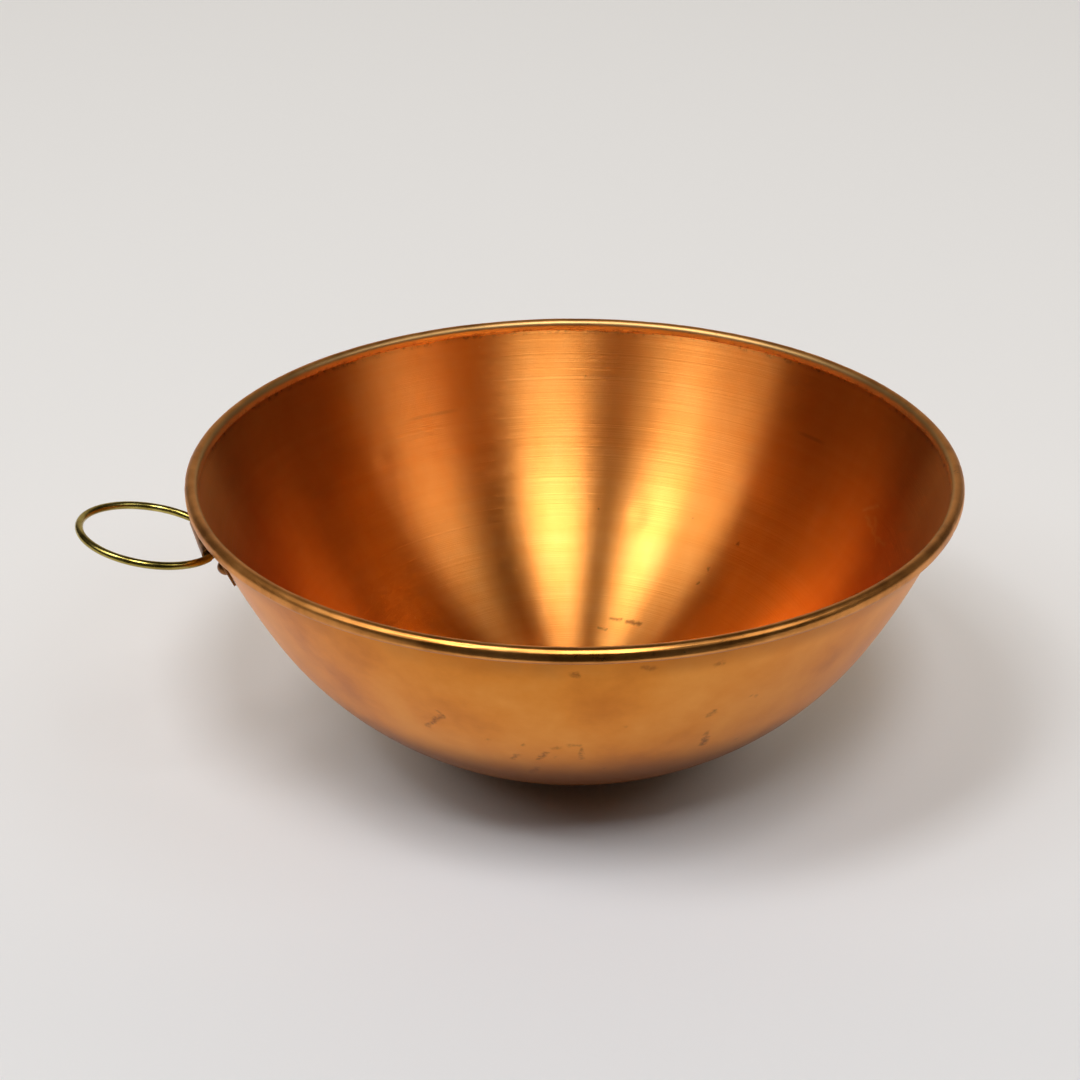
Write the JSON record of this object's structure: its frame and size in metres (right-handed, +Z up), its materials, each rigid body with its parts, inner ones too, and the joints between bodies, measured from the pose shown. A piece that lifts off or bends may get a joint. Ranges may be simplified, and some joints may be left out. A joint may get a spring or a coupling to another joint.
{
  "type": "copper mixing bowl",
  "caption": "Round-bottomed spun copper beating bowl with a wired, rolled rim and a hinged brass hanging ring riveted under it on a small leaf bracket.",
  "frame": {"origin": "centre of the underside of the small flat foot", "axes": "+Z up along the bowl's axis; the hanging ring is on the -X side and its hinge line runs along Y"},
  "size_m": [0.2895, 0.254, 0.0989],
  "materials": {
    "copper": "satin copper with fine spinning lines",
    "copper_fittings": "dull copper",
    "brass": "polished, slightly dulled brass",
    "steel": "drawn wire"
  },
  "bodies": {
    "bowl": {"bowl_shell": "copper", "rim_wire": "steel", "hinge_bracket": "copper_fittings", "rivet_left": "copper_fittings", "rivet_right": "copper_fittings"},
    "ring": {"hanging_ring": "brass"}
  },
  "joints": [
    {"name": "ring_hinge", "type": "hinge", "parent": "bowl", "child": "ring", "pos_m": [-0.12356, 0, 0.08854], "axis": [0, 1, 0], "range_deg": [-127, 47]}
  ]
}
